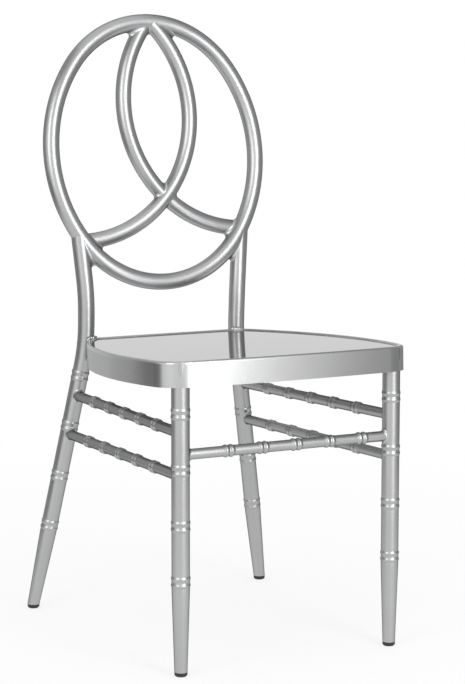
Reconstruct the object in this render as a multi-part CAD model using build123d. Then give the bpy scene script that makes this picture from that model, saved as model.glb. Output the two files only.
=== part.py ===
from build123d import *
from math import cos, radians, sin, sqrt, tan
import os

# Tubes of the frame, in millimetres
leg_od = 25.4
leg_wall = 1.2
ring_od = 25.0
arc_od = 24.0
back_wall = 1.2
stretcher_od = 15.0
stretcher_wall = 1.0

# Seat height, from which the other heights are set out
seat_top = 440.6
seat_slope = 2.0

# Front legs, upright
front_leg_x = 170.0
front_leg_y = -222.5

# Rear legs: splayed up to the knee, bent upright past the seat, then bent out and back to the ring
rear_foot_x = 202.7
rear_foot_y = 223.0
knee_x = 130.5
knee_y = 173.5
knee_drop = 26.6
knee_radius = 330.0
neck_out = 0.5
neck_forward = 3.7
neck_rise = 49.4
neck_radius = 400.0
post_out = 8.2
cope_stop = 4.0

# Tapered lower ends and the glides plugged into them
foot_od = 18.0
taper_top = 120.0
glide_height = 6.0
glide_edge = 2.0
glide_play = 0.15
stem_length = 16.0

# Double rolled beads on the legs, spaced evenly between the taper and the knee
leg_bead_count = 4
bead_above_taper = 13.5
bead_below_knee = 15.5
leg_ridge_gap = 9.5
leg_ridge_width = 5.6
leg_ridge_height = 0.7

# Stretchers below the seat, the side ones falling a little to the rear, and their double beads
side_upper_drop = 100.6
front_drop = 130.6
side_lower_drop = 160.6
side_fall = 4.0
stretcher_bead_count = 5
side_bead_pitch = 60.0
front_bead_pitch = 54.0
front_bead_shift = 11.5
stretcher_ridge_gap = 8.4
stretcher_ridge_width = 6.0
stretcher_ridge_height = 1.2

# Oval back ring, leaning back
ring_half_width = 176.0
ring_half_height = 202.5
ring_end_tuck = 13.0
ring_back = 25.2
ring_rise = 266.4
ring_lean = 8.6

# Two arcs inside the ring that meet at its top and cross lower down, hung a little out of true
lens_half_width = 55.7
lens_share = 0.6765
lens_above_ring = 2.0
arc_swing = 2.53
arc_shift = 3.5
arc_set_back = 1.1
left_arc_back = 3.0
weld_gap = 0.1

# Seat pan: a dished sheet on a bent rim band, its corners set out from the legs
front_corner_room = 10.3
front_lap = 0.3
rear_corner_out = 0.5
rear_lap = 3.3
front_bow = 8.8
side_bow = 39.0
rear_bow = 1.0
front_corner_radius = 45.0
rear_corner_radius = 30.0
pan_depth = 36.0
pan_edge = 3.6
sheet = 1.5
dish_depth = 2.0
dish_border = 6.5
dish_taper = 35.0
rim_wall = 2.0
sheet_lip = 1.5

leg_r = leg_od / 2
foot_r = foot_od / 2
ring_r = ring_od / 2
arc_r = arc_od / 2
stretcher_r = stretcher_od / 2
on_floor = (Align.CENTER, Align.CENTER, Align.MIN)


# Outline points of double ridges centred on the stations, as radius and distance along
def beaded(radius, stations, gap, width, height):
    points = []
    for station in stations:
        outer = (gap + width) / 2
        points += [
            (radius, station - outer),
            (radius + height, station - gap / 2),
            (radius, station),
            (radius + height, station + gap / 2),
            (radius, station + outer),
        ]
    return points


# Solid of revolution about Z from outline points, closed along the axis
def turned(points):
    outline = [(0, points[0][1]), *points, (0, points[-1][1])]
    return revolve(Plane.XZ * make_face(Polyline(*outline, close=True)), Axis.Z)


# Round bar of one radius along a path
def piped(path, radius):
    return sweep(Plane(path @ 0, z_dir=path % 0) * Circle(radius), path)


# Tangent arc that rounds the corner between two straight runs, after its two ends
def bend(before, corner, after, radius):
    come = (corner - before).normalized()
    go = (after - corner).normalized()
    setback = radius * tan(radians(come.get_angle(go)) / 2)
    start = corner - come * setback
    end = corner + go * setback
    return start, end, TangentArc(start, end, tangent=come)


def mirrored(solid):
    return mirror(solid, Plane.YZ)


# Oval ring of four tangent arcs
knee = Vector(knee_x, knee_y, seat_top - knee_drop)
neck = Vector(knee_x + neck_out, knee_y - neck_forward, seat_top + neck_rise)
lean = radians(ring_lean)
ring_plane = Plane(
    (0, neck.Y + ring_back, seat_top + ring_rise), x_dir=(1, 0, 0), z_dir=(0, -cos(lean), sin(lean))
)
end_radius = ring_half_width - ring_end_tuck
end_centre = ring_half_height - end_radius
side_radius = (ring_half_width**2 + end_centre**2 - end_radius**2) / (2 * ring_end_tuck)
side_centre = side_radius - ring_half_width
end_turn = Vector(0, 1).get_angle(Vector(side_centre, end_centre))
side_turn = 90 - end_turn
ring_path = ring_plane * Wire(
    [
        CenterArc((-side_centre, 0), side_radius, -side_turn, 2 * side_turn),
        CenterArc((0, end_centre), end_radius, side_turn, 2 * end_turn),
        CenterArc((side_centre, 0), side_radius, 180 - side_turn, 2 * side_turn),
        CenterArc((0, -end_centre), end_radius, 180 + side_turn, 2 * end_turn),
    ]
)
ring_bar = piped(ring_path, ring_r)
back_ring = ring_bar - piped(ring_path, ring_r - back_wall)

# Run of each rear leg
rear_foot = Vector(rear_foot_x, rear_foot_y, 0)
post_x = neck.X + post_out
post_drop = sqrt(side_radius**2 - (post_x + side_centre) ** 2)
post_end = Vector(*(ring_plane * Pos(post_x, -post_drop, 0)).position)
knee_start, knee_end, knee_arc = bend(rear_foot, knee, neck, knee_radius)
neck_start, neck_end, neck_arc = bend(knee, neck, post_end, neck_radius)
post_stop = post_end - (post_end - neck_end).normalized() * cope_stop
post_path = Wire([knee_arc, Line(knee_end, neck_start), neck_arc, Line(neck_end, post_stop)])
rear_axis = (knee - rear_foot).normalized()

# Heights of the leg beads, the same on all four legs
first_bead = taper_top + bead_above_taper
bead_pitch = (knee_start.Z - bead_below_knee - first_bead) / (leg_bead_count - 1)
bead_heights = [first_bead + bead_pitch * i for i in range(leg_bead_count)]


# Straight leg from the floor up, as a beaded bar or as the plain bore set in by the wall
def leg_run(length, rise, inset):
    points = [(foot_r - inset, 0), (leg_r - inset, taper_top / rise)]
    if not inset:
        stations = [height / rise for height in bead_heights]
        points += beaded(leg_r, stations, leg_ridge_gap, leg_ridge_width, leg_ridge_height)
    return turned([*points, (leg_r - inset, length)])


def rear_bar(inset):
    straight = leg_run((knee_start - rear_foot).length, rear_axis.Z, inset)
    return Plane(rear_foot, z_dir=rear_axis).location * straight + piped(post_path, leg_r - inset)


# Rear legs, cut level above the glides and coped to the ring
glide_top = Plane.XY.offset(glide_height)
rear_core = split(rear_bar(0), glide_top, keep=Keep.TOP)
rear_leg = rear_core - rear_bar(leg_wall) - ring_bar

# Crossing arcs, coped to the ring and to each other
half_lens = ring_half_height * lens_share
arc_radius = (half_lens**2 + lens_half_width**2) / (2 * lens_half_width)
arc_centre_x = arc_radius - lens_half_width
arc_hang = ring_half_height - ring_r
arc_drop = ring_half_height + lens_above_ring - half_lens - arc_hang
arc_place = ring_plane * Pos(arc_shift, arc_hang, 0) * Rot(arc_set_back, 0, 0) * Rot(0, 0, arc_swing)
ring_inside = extrude(make_face(ring_path), amount=ring_od, dir=tuple(ring_plane.z_dir), both=True)
back_frame = ring_bar + rear_core + mirrored(rear_core)


# Arc on one side, the left one lying a little behind the right
def arc_bar(side, radius):
    set_back = (1 - side) / 2 * left_arc_back
    return arc_place * Pos(-side * arc_centre_x, arc_drop, -set_back) * Torus(arc_radius, radius)


def arc_tube(side):
    return ((arc_bar(side, arc_r) - arc_bar(side, arc_r - back_wall)) & ring_inside) - back_frame


def longest(shape):
    return shape.solids().sort_by(SortBy.VOLUME)[-1]


# Right arc in one length, left arc in two that meet behind it on its centreline
back_arc_right = longest(arc_tube(1))
left_tube = arc_tube(-1) - arc_bar(1, arc_r + weld_gap)
right_disc = arc_place * Pos(-arc_centre_x, arc_drop, 0) * Cylinder(arc_radius, 2 * ring_od)
back_arc_left_upper = longest(left_tube & right_disc)
back_arc_left_lower = longest(left_tube - right_disc)

# Seat pan outline: bowed sides with rounded corners
front_corner_x = front_leg_x + leg_r + front_corner_room
bow_at_leg = front_bow * (1 - (front_leg_x / front_corner_x) ** 2)
front_corner_y = front_leg_y - leg_r - rim_wall + bow_at_leg + front_lap
post_at_seat = (knee + neck) / 2
rear_corner_x = post_at_seat.X + rear_corner_out
seat_length = post_at_seat.Y - leg_r + rear_lap - front_corner_y
slope = radians(seat_slope)
seat_plane = Plane((0, front_corner_y, seat_top), x_dir=(1, 0, 0), z_dir=(0, sin(slope), cos(slope)))
front_left, front_right = (-front_corner_x, 0), (front_corner_x, 0)
rear_left, rear_right = (-rear_corner_x, seat_length), (rear_corner_x, seat_length)
outline = make_face(
    [
        SagittaArc(front_left, front_right, -front_bow),
        SagittaArc(front_right, rear_right, -side_bow),
        SagittaArc(rear_right, rear_left, -rear_bow),
        SagittaArc(rear_left, front_left, -side_bow),
    ]
)
outline = fillet(outline.vertices().sort_by(Axis.Y)[:2], front_corner_radius)
outline = fillet(outline.vertices().sort_by(Axis.Y)[-2:], rear_corner_radius)
pan = extrude(outline, -pan_depth)
pan = fillet(pan.faces().sort_by(Axis.Z)[-1].edges(), pan_edge)
dish = extrude(offset(outline, -dish_border), -dish_depth, taper=dish_taper)
underside = dish_depth + sheet
shell = pan - dish - Pos(0, 0, -underside) * extrude(offset(outline, -rim_wall), -pan_depth)
lip_plane = Plane.XY.offset(-underside - sheet_lip)


def front_bar(inset):
    return Pos(front_leg_x, front_leg_y, 0) * leg_run(seat_top, 1, inset)


# Front legs, standing up inside the rim to the sheet's underside
sheet_under = seat_plane.offset(-underside)
front_core = split(split(front_bar(0), glide_top, keep=Keep.TOP), sheet_under, keep=Keep.BOTTOM)
front_leg = front_core - front_bar(leg_wall)

# Seat sheet and rim, notched where they bear on the legs
leg_cores = front_core + mirrored(front_core) + rear_core + mirrored(rear_core)
seat_plate = seat_plane * split(shell, lip_plane, keep=Keep.TOP) - leg_cores
seat_rim = seat_plane * split(shell, lip_plane, keep=Keep.BOTTOM) - leg_cores


# Beaded stretcher tube between two points on leg axes, coped to the legs at both ends
def stretcher(start, end, pitch, shift):
    span = end - start
    middle = span.length / 2 + shift
    stations = [middle + pitch * (i - (stretcher_bead_count - 1) / 2) for i in range(stretcher_bead_count)]
    beads = beaded(
        stretcher_r, stations, stretcher_ridge_gap, stretcher_ridge_width, stretcher_ridge_height
    )
    bar = turned([(stretcher_r, 0), *beads, (stretcher_r, span.length)])
    bore = Cylinder(stretcher_r - stretcher_wall, span.length, align=on_floor)
    return Plane(start, z_dir=span).location * (bar - bore) - leg_cores


def side_stretcher(drop):
    height = seat_top - drop
    rear_end = rear_foot + rear_axis * ((height - side_fall) / rear_axis.Z)
    return stretcher(Vector(front_leg_x, front_leg_y, height), rear_end, side_bead_pitch, 0)


side_upper = side_stretcher(side_upper_drop)
side_lower = side_stretcher(side_lower_drop)
front_right_end = Vector(front_leg_x, front_leg_y, seat_top - front_drop)
front_left_end = Vector(-front_leg_x, front_leg_y, seat_top - front_drop)
front_stretcher = stretcher(front_left_end, front_right_end, front_bead_pitch, front_bead_shift)


# Moulded glide with an eased sole and a stem that plugs into the leg
def glide(foot, axis):
    end_r = foot_r + (leg_r - foot_r) * glide_height / taper_top
    middle = foot + axis * (glide_height / axis.Z)
    cup = Pos(middle.X, middle.Y, 0) * Cylinder(end_r, glide_height, align=on_floor)
    cup = chamfer(cup.edges().sort_by(Axis.Z)[0], glide_edge)
    stem = Cylinder(end_r - leg_wall - glide_play, glide_height + stem_length, align=on_floor)
    stem = Plane(foot, z_dir=axis).location * stem
    return cup + split(stem, Plane.XY.offset(glide_height / 2), keep=Keep.TOP)


front_glide = glide(Vector(front_leg_x, front_leg_y, 0), Vector(0, 0, 1))
rear_glide = glide(rear_foot, rear_axis)

nodes = {
    "back_ring": back_ring,
    "back_arc_right": back_arc_right,
    "back_arc_left_upper": back_arc_left_upper,
    "back_arc_left_lower": back_arc_left_lower,
    "rear_leg_right": rear_leg,
    "rear_leg_left": mirrored(rear_leg),
    "front_leg_right": front_leg,
    "front_leg_left": mirrored(front_leg),
    "side_stretcher_right_upper": side_upper,
    "side_stretcher_right_lower": side_lower,
    "side_stretcher_left_upper": mirrored(side_upper),
    "side_stretcher_left_lower": mirrored(side_lower),
    "front_stretcher": front_stretcher,
    "seat_plate": seat_plate,
    "seat_rim": seat_rim,
    "foot_glide_front_right": front_glide,
    "foot_glide_front_left": mirrored(front_glide),
    "foot_glide_rear_right": rear_glide,
    "foot_glide_rear_left": mirrored(rear_glide),
}

# Centre the chair on the floor and write one file per piece
box = Compound([solid for node in nodes.values() for solid in node.solids()]).bounding_box()
centred = Pos(-box.center().X, -box.center().Y, -box.min.Z)
os.makedirs("parts", exist_ok=True)
for name, node in nodes.items():
    export_step(centred * node, f"parts/{name}.step")
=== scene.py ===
import math

import bmesh
import bpy
from mathutils import Matrix, Vector


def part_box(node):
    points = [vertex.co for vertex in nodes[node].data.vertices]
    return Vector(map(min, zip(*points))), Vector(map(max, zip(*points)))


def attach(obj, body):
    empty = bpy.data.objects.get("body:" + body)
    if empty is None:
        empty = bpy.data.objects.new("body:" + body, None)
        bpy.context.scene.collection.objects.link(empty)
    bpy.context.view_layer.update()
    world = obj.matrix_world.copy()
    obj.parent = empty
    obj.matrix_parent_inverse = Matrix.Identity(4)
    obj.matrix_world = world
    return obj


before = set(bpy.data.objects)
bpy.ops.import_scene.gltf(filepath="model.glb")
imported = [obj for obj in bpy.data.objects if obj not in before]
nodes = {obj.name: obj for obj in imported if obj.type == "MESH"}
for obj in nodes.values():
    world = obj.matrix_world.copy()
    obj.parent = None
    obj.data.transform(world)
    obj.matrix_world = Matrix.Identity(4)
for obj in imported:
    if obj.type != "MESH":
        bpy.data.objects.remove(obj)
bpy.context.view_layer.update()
print("frame loaded,", len(nodes), "nodes")


# a shader socket that takes part in plain expressions
class Signal:
    def __init__(self, tree, socket=None):
        self.tree = tree
        self.socket = socket

    # any node: its type, its settings first, then values or links by socket name
    def node(self, kind, settings=None, out=0, **sockets):
        made = self.tree.nodes.new("ShaderNode" + kind)
        for name, value in (settings or {}).items():
            setattr(made, name, value)
        live = [socket for socket in made.inputs if socket.enabled]
        named = {socket.name.replace(" ", ""): socket for socket in reversed(live)}
        second = [socket for socket in live if socket.identifier.endswith("_001")]
        named.update((socket.identifier, socket) for socket in second)  # a name that comes twice
        for name, value in sockets.items():
            if isinstance(value, Signal):
                self.tree.links.new(value.socket, named[name])
            else:
                named[name].default_value = value
        return Signal(self.tree, made.outputs[out] if made.outputs else None)

    def maths(self, operation, first, second):
        return self.node("Math", {"operation": operation}, Value=first, Value_001=second)

    def __add__(self, other):
        return self.maths("ADD", self, other)

    def __radd__(self, other):
        return self.maths("ADD", other, self)

    def __sub__(self, other):
        return self.maths("SUBTRACT", self, other)

    def __rsub__(self, other):
        return self.maths("SUBTRACT", other, self)

    def __mul__(self, other):
        return self.maths("MULTIPLY", self, other)

    def __rmul__(self, other):
        return self.maths("MULTIPLY", other, self)

    def capped(self):
        return self.maths("MINIMUM", self, 1.0)


def newTree(owner):
    owner.use_nodes = True
    owner.node_tree.nodes.clear()
    return Signal(owner.node_tree)


colourResult = 2  # a Mix node has one output for each kind of data


def blend(tree, share, low, high):
    return tree.node("Mix", {"data_type": "RGBA"}, out=colourResult, Factor=share, A=low, B=high)


# edge is how much light the paint keeps where it is seen along its surface
framePaint = dict(
    dark=(0.41, 0.413, 0.418, 1), light=(0.52, 0.523, 0.528, 1), edge=0.08, rough=0.36, peel=0.10
)
# the welds share the frame's silver paint; their lighter tone is a painted highlight standing in for the
# shine on the weld fillets
weldPaintPaintedHighlight = dict(
    dark=(0.41, 0.413, 0.418, 1), light=(0.56, 0.563, 0.568, 1), edge=0.08, rough=0.33, peel=0.50
)
rimPaint = dict(
    dark=(0.50, 0.503, 0.508, 1), light=(0.56, 0.563, 0.568, 1), edge=0.60, rough=0.27, peel=0.05
)
seatPaint = dict(
    dark=(0.50, 0.503, 0.508, 1), light=(0.55, 0.553, 0.558, 1), edge=0.74, rough=0.06, peel=0.015
)
paintGrain = dict(
    cloudScale=9.0, cloudShare=0.7, flakeScale=1400.0, flakeShare=0.3, peelScale=260.0, peelDepth=0.0004,
    roughSwing=0.06, borderFrom=0.97, borderTo=0.995
)
footPlastic = dict(
    dark=(0.010, 0.010, 0.011, 1), light=(0.024, 0.024, 0.025, 1), rough=0.55, roughSwing=0.1,
    cloudScale=120.0, bump=0.2, bumpDepth=0.0004
)


# metallic paint: cloudy tone, fine flake and a faint orange peel
def silverPaint(name, look, border=None):
    material = bpy.data.materials.new(name)
    tree = newTree(material)
    place = tree.node("TexCoord", out="Object")
    cloud = tree.node("TexNoise", Vector=place, Scale=paintGrain["cloudScale"], Detail=3.0)
    flake = tree.node("TexNoise", Vector=place, Scale=paintGrain["flakeScale"], Detail=1.0)
    peel = tree.node("TexNoise", Vector=place, Scale=paintGrain["peelScale"], Detail=2.0)
    tone = cloud * paintGrain["cloudShare"] + flake * paintGrain["flakeShare"]
    colour = blend(tree, tone, look["dark"], look["light"])
    rough = look["rough"] + (cloud - 0.5) * paintGrain["roughSwing"]
    if border:  # the turned-down border is duller than the flat sheet
        facingUp = tree.node("SeparateXYZ", out="Z", Vector=tree.node("TexCoord", out="Normal"))
        flat = tree.node(
            "MapRange", {"clamp": True}, Value=facingUp,
            FromMin=paintGrain["borderFrom"], FromMax=paintGrain["borderTo"]
        )
        borderColour = blend(tree, tone, border["dark"], border["light"])
        colour = blend(tree, flat, borderColour, colour)
        rough = rough + (1 - flat) * (border["rough"] - look["rough"])
    bump = tree.node("Bump", Height=peel, Strength=look["peel"], Distance=paintGrain["peelDepth"])
    shader = tree.node(
        "BsdfPrincipled", BaseColor=colour, Metallic=1.0, Roughness=rough, Normal=bump,
        SpecularTint=(look["edge"], look["edge"], look["edge"], 1)
    )
    tree.node("OutputMaterial", Surface=shader)
    return material


def blackPlastic(name, look):
    material = bpy.data.materials.new(name)
    tree = newTree(material)
    place = tree.node("TexCoord", out="Object")
    cloud = tree.node("TexNoise", Vector=place, Scale=look["cloudScale"], Detail=3.0)
    colour = blend(tree, cloud, look["dark"], look["light"])
    bump = tree.node("Bump", Height=cloud, Strength=look["bump"], Distance=look["bumpDepth"])
    rough = look["rough"] + (cloud - 0.5) * look["roughSwing"]
    shader = tree.node("BsdfPrincipled", BaseColor=colour, Roughness=rough, Normal=bump)
    tree.node("OutputMaterial", Surface=shader)
    return material


finishes = {
    "frame_paint": silverPaint("framePaint", framePaint),
    "weld_paint": silverPaint("weldPaintPaintedHighlight", weldPaintPaintedHighlight),
    "rim_paint": silverPaint("rimPaint", rimPaint),
    "seat_paint": silverPaint("seatPaint", seatPaint, rimPaint),
    "glide_plastic": blackPlastic("glidePlastic", footPlastic),
}


def dress(piece, finish):
    piece.data.materials.clear()
    piece.data.materials.append(finishes[finish])


for name, piece in nodes.items():
    if name.startswith("foot_glide"):
        dress(piece, "glide_plastic")
    elif name == "seat_plate":
        dress(piece, "seat_paint")
    elif name == "seat_rim":
        dress(piece, "rim_paint")
    else:
        dress(piece, "frame_paint")
print("finishes on")

# the run of the tubes, which the beads and welds follow
legs = dict(
    radius=0.0127, frontX=0.170, frontY=-0.2225, rearFoot=(0.2027, 0.223, 0),
    knee=(0.1305, 0.1735, 0.414), neck=(0.131, 0.1698, 0.490), kneeBend=0.33, postX=0.1392
)
rails = dict(radius=0.0075, upper=0.340, front=0.310, lower=0.280, fall=0.004)
ring = dict(
    radius=0.0125, halfWidth=0.176, halfHeight=0.2025, tuck=0.013, lean=8.6, behind=0.195, height=0.707
)
arcs = dict(
    radius=0.012, halfWidth=0.0557, share=0.6765, above=0.002, shift=0.0035,
    setBack=1.1, swing=2.53, leftBack=0.003
)
legLow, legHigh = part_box("front_leg_right")
ahead = (legLow.y + legHigh.y) / 2 - legs["frontY"]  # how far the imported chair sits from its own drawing


def spot(point):
    return Vector((point[0], point[1] + ahead, point[2]))


# points and directions of the right side, which the left one mirrors
rearFoot, knee, neck = spot(legs["rearFoot"]), spot(legs["knee"]), spot(legs["neck"])
frontFoot = spot((legs["frontX"], legs["frontY"], 0))
upright = Vector((0, 0, 1))
splay = (knee - rearFoot).normalized()
kneeStart = knee - splay * legs["kneeBend"] * math.tan(splay.angle(neck - knee) / 2)
flip = Matrix.Scale(-1, 4, (1, 0, 0))
sides = ((False, "Right"), (True, "Left"))


def alongAxis(start, end):
    return Matrix.Translation(start) @ (end - start).to_track_quat("Z", "Y").to_matrix().to_4x4()


# where the axis of a side stretcher meets those of the front and the rear leg
def railEnds(height):
    return frontFoot + upright * height, rearFoot + splay * ((height - rails["fall"]) / splay.z)


frontRight = frontFoot + upright * rails["front"]
frontLeft = flip @ frontRight


def addPiece(name, mesh, finish):
    bmesh.ops.remove_doubles(mesh, verts=mesh.verts, dist=1e-6)
    bmesh.ops.recalc_face_normals(mesh, faces=mesh.faces)
    shape = bpy.data.meshes.new(name)
    mesh.to_mesh(shape)
    mesh.free()
    shape.shade_smooth()
    piece = bpy.data.objects.new(name, shape)
    bpy.context.scene.collection.objects.link(piece)
    dress(piece, finish)
    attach(piece, "root")
    return piece


# rolled beads: a rounded double ridge spun over each sharp one of the tube
legBead = dict(
    radius=legs["radius"], gap=0.0095, spread=0.0037, height=0.00090,
    count=4, lowest=0.1335, belowKnee=0.0155
)
railBead = dict(
    radius=rails["radius"], gap=0.0084, spread=0.0046, height=0.00150,
    count=5, sidePitch=0.060, frontPitch=0.054, frontShift=0.0115
)
beadMesh = dict(points=25, around=64, lift=0.00003, sunk=0.0006, edgeSunk=0.00015)


def ridge(look, along):
    total = 0
    for middle in (-look["gap"] / 2, look["gap"] / 2):
        off = abs(along - middle) / look["spread"]
        total += look["height"] * math.cos(off * math.pi / 2) ** 2 if off < 1 else 0
    return total


def beadRun(name, look, stations, place, mirror=False):
    mesh = bmesh.new()
    reach = look["gap"] / 2 + look["spread"]
    for station in stations:
        outline = []
        for i in range(beadMesh["points"]):
            along = reach * (2 * i / (beadMesh["points"] - 1) - 1)
            height = look["radius"] + beadMesh["lift"] + ridge(look, along)
            outline.append(mesh.verts.new((height, 0, station + along)))
        outline[0].co.x = outline[-1].co.x = look["radius"] - beadMesh["edgeSunk"]
        for corner in (outline[-1], outline[0]):  # the inside, hidden in the tube's wall
            outline.append(mesh.verts.new((look["radius"] - beadMesh["sunk"], 0, corner.co.z)))
        edges = [mesh.edges.new(pair) for pair in zip(outline, outline[1:] + outline[:1])]
        bmesh.ops.spin(
            mesh, geom=outline + edges, cent=(0, 0, 0), axis=(0, 0, 1), dvec=(0, 0, 0),
            angle=2 * math.pi, steps=beadMesh["around"], use_merge=True
        )
    bmesh.ops.transform(mesh, matrix=(flip @ place) if mirror else place, verts=mesh.verts)
    return addPiece(name, mesh, "frame_paint")


def railStations(middle, pitch):
    count = railBead["count"]
    return [middle + pitch * (i - (count - 1) / 2) for i in range(count)]


legRise = kneeStart.z - legBead["belowKnee"] - legBead["lowest"]
legHeights = [legBead["lowest"] + legRise * i / (legBead["count"] - 1) for i in range(legBead["count"])]
splayHeights = [height / splay.z for height in legHeights]
for mirror, side in sides:
    beadRun(f"beadsFrontLeg{side}", legBead, legHeights, alongAxis(frontFoot, frontFoot + upright), mirror)
    beadRun(f"beadsRearLeg{side}", legBead, splayHeights, alongAxis(rearFoot, knee), mirror)
    for level in ("upper", "lower"):
        start, end = railEnds(rails[level])
        stations = railStations((end - start).length / 2, railBead["sidePitch"])
        beadRun(f"beads{level.title()}Rail{side}", railBead, stations, alongAxis(start, end), mirror)
stations = railStations(legs["frontX"] + railBead["frontShift"], railBead["frontPitch"])
beadRun("beadsFrontRail", railBead, stations, alongAxis(frontLeft, frontRight))
print("beads rolled")

# welds: a joint's tubes stood in again a fillet thicker, fused, then drawn back in by the fillet,
# so that they sink just under the real tubes and only the filled creases stand proud
weld = dict(
    fillet=0.0045, railFillet=0.0028, sink=0.00015, voxel=0.0010, ease=10, easeFactor=0.5,
    segments=40, step=1.5
)
# how far each joint follows its tubes: degrees round the ring and the arcs, lengths along straight ones
runs = dict(
    crossing=(-25, -63), topRing=(66, 116), topArcs=(26, 43), postRing=(18, 60), postArc=20,
    post=0.055, leg=0.024, rail=0.036
)
endRadius = ring["halfWidth"] - ring["tuck"]
endCentre = ring["halfHeight"] - endRadius
sideRadius = (ring["halfWidth"] ** 2 + endCentre ** 2 - endRadius ** 2) / (2 * ring["tuck"])
sideCentre = sideRadius - ring["halfWidth"]
sideTurn = math.degrees(math.atan2(endCentre, sideCentre))
leanBack = Matrix.Rotation(math.radians(90 - ring["lean"]), 4, "X")
ringPlace = Matrix.Translation(spot((0, ring["behind"], ring["height"]))) @ leanBack
halfLens = ring["halfHeight"] * arcs["share"]
arcBend = (halfLens ** 2 + arcs["halfWidth"] ** 2) / (2 * arcs["halfWidth"])
arcHang = ring["halfHeight"] - ring["radius"]
arcDrop = ring["halfHeight"] + arcs["above"] - halfLens - arcHang
arcTilt = Matrix.Rotation(math.radians(arcs["setBack"]), 4, "X")
arcTilt = arcTilt @ Matrix.Rotation(math.radians(arcs["swing"]), 4, "Z")
arcPlace = ringPlace @ Matrix.Translation((arcs["shift"], arcHang, 0)) @ arcTilt


# a round end, which draws in without leaving a collar
def roundEnd(mesh, place, radius):
    bmesh.ops.create_uvsphere(
        mesh, u_segments=weld["segments"], v_segments=weld["segments"] // 2, radius=radius, matrix=place
    )


def straightTube(mesh, start, end, radius):
    middle = Matrix.Translation((0, 0, (end - start).length / 2))
    roundEnd(mesh, Matrix.Translation(start), radius)
    roundEnd(mesh, Matrix.Translation(end), radius)
    bmesh.ops.create_cone(
        mesh, cap_ends=True, segments=weld["segments"], radius1=radius, radius2=radius,
        depth=(end - start).length, matrix=alongAxis(start, end) @ middle
    )


def curvedTube(mesh, place, centre, bend, radius, start, stop):
    before = set(mesh.verts)
    turn = Matrix.Rotation(math.radians(start), 4, "Z")
    across = Matrix.Translation(centre) @ turn @ Matrix.Translation((bend, 0, 0))
    across = across @ Matrix.Rotation(math.pi / 2, 4, "X")
    circle = bmesh.ops.create_circle(
        mesh, cap_ends=False, segments=weld["segments"], radius=radius, matrix=across
    )
    edges = list({edge for vert in circle["verts"] for edge in vert.link_edges})
    bmesh.ops.spin(
        mesh, geom=circle["verts"] + edges, cent=centre, axis=(0, 0, 1), dvec=(0, 0, 0),
        angle=math.radians(stop - start), steps=round(abs(stop - start) / weld["step"]), use_merge=False
    )
    fresh = [vert for vert in mesh.verts if vert not in before]
    rims = {edge for vert in fresh for edge in vert.link_edges if edge.is_boundary}
    bmesh.ops.holes_fill(mesh, edges=list(rims), sides=0)
    bmesh.ops.transform(mesh, matrix=place, verts=fresh)
    for angle in (start, stop):
        arm = Matrix.Rotation(math.radians(angle), 4, "Z") @ Vector((bend, 0, 0))
        roundEnd(mesh, place @ Matrix.Translation(centre + arm), radius)


def ringRun(mesh, centre, bend, start, stop):
    thick = ring["radius"] + weld["fillet"] - weld["sink"]
    curvedTube(mesh, ringPlace, Vector((centre[0], centre[1], 0)), bend, thick, start, stop)


# the right arc is hand 1 and the left one, which lies a little behind it, hand -1
def arcRun(mesh, hand, start, stop):
    centre = Vector((-hand * (arcBend - arcs["halfWidth"]), arcDrop, 0 if hand > 0 else -arcs["leftBack"]))
    angles = (start, stop) if hand > 0 else (180 - start, 180 - stop)
    curvedTube(mesh, arcPlace, centre, arcBend, arcs["radius"] + weld["fillet"] - weld["sink"], *angles)


def melt(piece, voxel):
    remesh = piece.modifiers.new("melt", "REMESH")
    remesh.mode, remesh.voxel_size, remesh.use_smooth_shade = "VOXEL", voxel, True


def easeOut(piece, rounds):
    smooth = piece.modifiers.new("ease", "SMOOTH")
    smooth.factor, smooth.iterations = weld["easeFactor"], rounds


def fuse(name, mesh, fillet):
    piece = addPiece(name, mesh, "weld_paint")
    melt(piece, weld["voxel"])
    draw = piece.modifiers.new("drawIn", "DISPLACE")
    draw.mid_level, draw.strength = 0, -fillet
    melt(piece, weld["voxel"])
    easeOut(piece, weld["ease"])


crossing = bmesh.new()
top = bmesh.new()
ringRun(top, (0, endCentre), endRadius, *runs["topRing"])
for hand in (1, -1):
    arcRun(crossing, hand, *runs["crossing"])
    arcRun(top, hand, *runs["topArcs"])
fuse("weldCrossing", crossing, weld["fillet"])
fuse("weldTop", top, weld["fillet"])

# landing is the angle at which the arc from the other side comes in on the ring
postJoints = {"Right": dict(hand=1, landing=-84.0), "Left": dict(hand=-1, landing=-91.5)}
postDrop = math.sqrt(sideRadius ** 2 - (legs["postX"] + sideCentre) ** 2)
postTop = ringPlace @ Vector((legs["postX"], -postDrop, 0))
postLow = postTop + (neck - postTop).normalized() * runs["post"]
for side, joint in postJoints.items():
    hand = joint["hand"]
    mesh = bmesh.new()
    straightTube(mesh, postLow, postTop, legs["radius"] + weld["fillet"] - weld["sink"])
    if hand < 0:
        bmesh.ops.transform(mesh, matrix=flip, verts=mesh.verts)
    around = 0 if hand > 0 else 180
    first, last = (around - hand * turn for turn in runs["postRing"])
    change = around - hand * sideTurn  # where the ring's side arc meets its lower one
    ringRun(mesh, (-hand * sideCentre, 0), sideRadius, first, change)
    ringRun(mesh, (0, -endCentre), endRadius, change, last)
    arcRun(mesh, -hand, joint["landing"] + runs["postArc"], joint["landing"])
    fuse(f"weldPost{side}", mesh, weld["fillet"])


def railWeld(name, joint, legAxis, inner, mirror):
    mesh = bmesh.new()
    extra = weld["railFillet"] - weld["sink"]
    alongLeg = legAxis * runs["leg"]
    straightTube(mesh, joint - alongLeg, joint + alongLeg, legs["radius"] + extra)
    straightTube(mesh, joint, joint + (inner - joint).normalized() * runs["rail"], rails["radius"] + extra)
    if mirror:
        bmesh.ops.transform(mesh, matrix=flip, verts=mesh.verts)
    fuse(name, mesh, weld["railFillet"])


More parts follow.
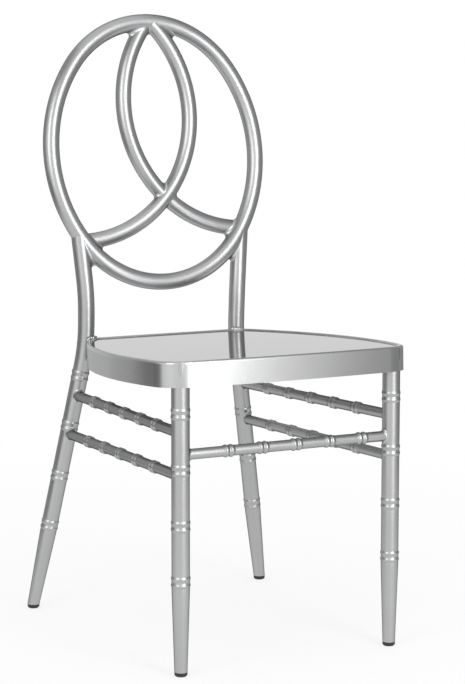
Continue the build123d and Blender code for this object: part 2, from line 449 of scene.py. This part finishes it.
for mirror, side in sides:
    for level in ("upper", "lower"):
        start, end = railEnds(rails[level])
        railWeld(f"weldFrontOf{level.title()}Rail{side}", start, upright, end, mirror)
        railWeld(f"weldRearOf{level.title()}Rail{side}", end, splay, start, mirror)
    railWeld(f"weldFrontRail{side}", frontRight, upright, frontLeft, mirror)

# lumpy weld round the front of each post, where the seat's rear corner bears on it: down the outer
# and the inner crease by angle about the post, and over the top in drops of angle, height and radius
seatWeld = dict(
    fromAxis=0.0145, outer=-82, inner=-140, low=0.3965, high=0.4225, pitch=0.0030,
    radius=0.0029, wobble=0.0004, wobbleTurn=2.3,
    drops=((-142, 0.4262, 0.0030), (-126, 0.4268, 0.0025), (-111, 0.4264, 0.0029),
           (-97, 0.4270, 0.0024), (-83, 0.4256, 0.0031), (-74, 0.4236, 0.0024)),
    voxel=0.0005, ease=3
)
postRise = (neck - knee) / (neck.z - knee.z)


def besidePost(angle, height):
    turn = math.radians(angle)
    out = Vector((math.cos(turn), math.sin(turn), 0)) * seatWeld["fromAxis"]
    return Matrix.Translation(knee + postRise * (height - knee.z) + out)


creaseLength = seatWeld["high"] - seatWeld["low"]
creaseSteps = round(creaseLength / seatWeld["pitch"])
for mirror, side in sides:
    mesh = bmesh.new()
    for angle in (seatWeld["outer"], seatWeld["inner"]):
        for i in range(creaseSteps + 1):
            height = seatWeld["low"] + creaseLength * i / creaseSteps
            radius = seatWeld["radius"] + seatWeld["wobble"] * math.sin(seatWeld["wobbleTurn"] * i)
            roundEnd(mesh, besidePost(angle, height), radius)
    for angle, height, radius in seatWeld["drops"]:
        roundEnd(mesh, besidePost(angle, height), radius)
    if mirror:
        bmesh.ops.transform(mesh, matrix=flip, verts=mesh.verts)
    piece = addPiece(f"weldSeatCorner{side}", mesh, "weld_paint")
    melt(piece, seatWeld["voxel"])
    easeOut(piece, seatWeld["ease"])
print("welds run")

# azimuth 0 is straight ahead of the chair, and a positive one towards its right leg
studio = dict(
    floorSize=40.0, floorTone=(0.9, 0.9, 0.9, 1), floorWhite=0.72, floorClear=1.6, ambient=0.85,
    flagRadius=1.4, overheadHeight=2.9, lampDistance=2.6, lampAim=0.45
)
flags = {
    "flagLeftRear": dict(start=-171, stop=-134, low=0.6, high=1.5, grey=0.62),
    "flagLeftRearLow": dict(start=-171, stop=-154, low=0, high=0.6, grey=0.95),
    "flagLeftMiddleLow": dict(start=-154, stop=-134, low=0, high=0.6, grey=0.62),
    "flagLeft": dict(start=-134, stop=-88, low=0, high=0.5, grey=0.16),
    "flagLeftUpper": dict(start=-134, stop=-112, low=0.5, high=1.5, grey=0.36),
    "flagRightEdge": dict(start=28, stop=36, low=0, high=1.5, grey=0.64),
    "flagRight": dict(start=36, stop=78, low=0, high=2.2, grey=0.36),
    "flagRightRear": dict(start=78, stop=126, low=0, high=2.2, grey=0.50),
}
overheads = {
    "overheadLeft": dict(left=-2.6, right=-1.0, front=-2.5, rear=2.5, grey=0.34),
    "overheadRight": dict(left=1.0, right=2.6, front=-1.05, rear=2.5, grey=0.34),
}
softboxes = {
    "keySoftbox": dict(azimuth=8.0, height=1.3, width=0.9, tall=2.4, power=31.0),
    "fillSoftbox": dict(azimuth=-62.0, height=1.6, width=1.0, tall=2.0, power=16.0),
}
pureWhite = (1, 1, 1, 1)


def bearing(azimuth, elevation=0):
    turn, rise = math.radians(azimuth), math.radians(elevation)
    return Vector((math.sin(turn) * math.cos(rise), -math.cos(turn) * math.cos(rise), math.sin(rise)))


# 1 where the camera, a reflection or a refraction looks straight at the backdrop
def seenDirectly(tree):
    straight = tree.node("LightPath", out="Is Camera Ray") + tree.node("LightPath", out="Is Glossy Ray")
    return (straight + tree.node("LightPath", out="Is Transmission Ray")).capped()


world = bpy.data.worlds.new("studioWorld")
bpy.context.scene.world = world
tree = newTree(world)
ambient = tree.node("Background", Color=pureWhite, Strength=studio["ambient"])
backdrop = tree.node("Background", Color=pureWhite, Strength=1.0)
light = tree.node("MixShader", Fac=seenDirectly(tree), Shader=ambient, Shader_001=backdrop)
tree.node("OutputWorld", Surface=light)

# the floor keeps the shadow round the feet and fades to clear white further out
floorPale = bpy.data.materials.new("floorPale")
tree = newTree(floorPale)
matt = tree.node("BsdfDiffuse", Color=studio["floorTone"])
glow = tree.node("Emission", Color=pureWhite, Strength=1.0)
place = tree.node("TexCoord", out="Object")
away = tree.node("VectorMath", {"operation": "LENGTH"}, out="Value", Vector=place)
clear = (away * (1 / studio["floorClear"])).capped()
share = seenDirectly(tree) * (studio["floorWhite"] + (1 - studio["floorWhite"]) * clear)
pale = tree.node("MixShader", Fac=share, Shader=matt, Shader_001=glow)
tree.node("OutputMaterial", Surface=pale)


def panel(name, material, width, height, place):
    mesh = bmesh.new()
    stretch = Matrix.Diagonal((width, height, 1, 1))
    bmesh.ops.create_grid(mesh, x_segments=1, y_segments=1, size=0.5, matrix=place @ stretch)
    shape = bpy.data.meshes.new(name)
    mesh.to_mesh(shape)
    mesh.free()
    shape.materials.append(material)
    made = bpy.data.objects.new(name, shape)
    bpy.context.scene.collection.objects.link(made)
    return made


panel("floor", floorPale, studio["floorSize"], studio["floorSize"], Matrix.Identity(4))


# grey flags at both sides and overhead, which only the metal sees
def flag(name, grey, width, height, place):
    material = bpy.data.materials.new(name)
    tree = newTree(material)
    tree.node("OutputMaterial", Surface=tree.node("Emission", Color=pureWhite, Strength=grey))
    made = panel(name, material, width, height, place)
    made.visible_camera = made.visible_diffuse = made.visible_shadow = False


for name, look in flags.items():
    azimuth = (look["start"] + look["stop"]) / 2
    width = 2 * studio["flagRadius"] * math.tan(math.radians(look["stop"] - look["start"]) / 2)
    stand = bearing(azimuth) * studio["flagRadius"] + upright * ((look["low"] + look["high"]) / 2)
    place = Matrix.Translation(stand) @ Matrix.Rotation(math.radians(azimuth), 4, "Z")
    place = place @ Matrix.Rotation(math.pi / 2, 4, "X")
    flag(name, look["grey"], width, look["high"] - look["low"], place)
for name, look in overheads.items():
    width, length = look["right"] - look["left"], look["rear"] - look["front"]
    middle = (look["left"] + width / 2, look["front"] + length / 2, studio["overheadHeight"])
    flag(name, look["grey"], width, length, Matrix.Translation(middle))

for name, look in softboxes.items():
    lamp = bpy.data.lights.new(name, "AREA")
    lamp.shape = "RECTANGLE"
    lamp.size, lamp.size_y, lamp.energy = look["width"], look["tall"], look["power"]
    stand = bpy.data.objects.new(name, lamp)
    bpy.context.scene.collection.objects.link(stand)
    stand.location = bearing(look["azimuth"]) * studio["lampDistance"] + upright * look["height"]
    aim = upright * studio["lampAim"] - stand.location
    stand.rotation_euler = aim.to_track_quat("-Z", "Y").to_euler()
print("studio lit")

shot = dict(
    azimuth=-27.91, elevation=6.74, aimHeight=0.460, distance=3.1401,
    lens=111.05, shiftX=0.0267, shiftY=-0.0286
)
back = bearing(shot["azimuth"], shot["elevation"])
camera = bpy.data.objects.new("camera", bpy.data.cameras.new("camera"))
bpy.context.scene.collection.objects.link(camera)
camera.location = spot((0, 0, shot["aimHeight"])) + back * shot["distance"]
camera.rotation_euler = (-back).to_track_quat("-Z", "Y").to_euler()
camera.data.lens = shot["lens"]
camera.data.shift_x, camera.data.shift_y = shot["shiftX"], shot["shiftY"]
bpy.context.scene.camera = camera
bpy.context.scene.view_settings.view_transform = "Standard"

print("camera set")
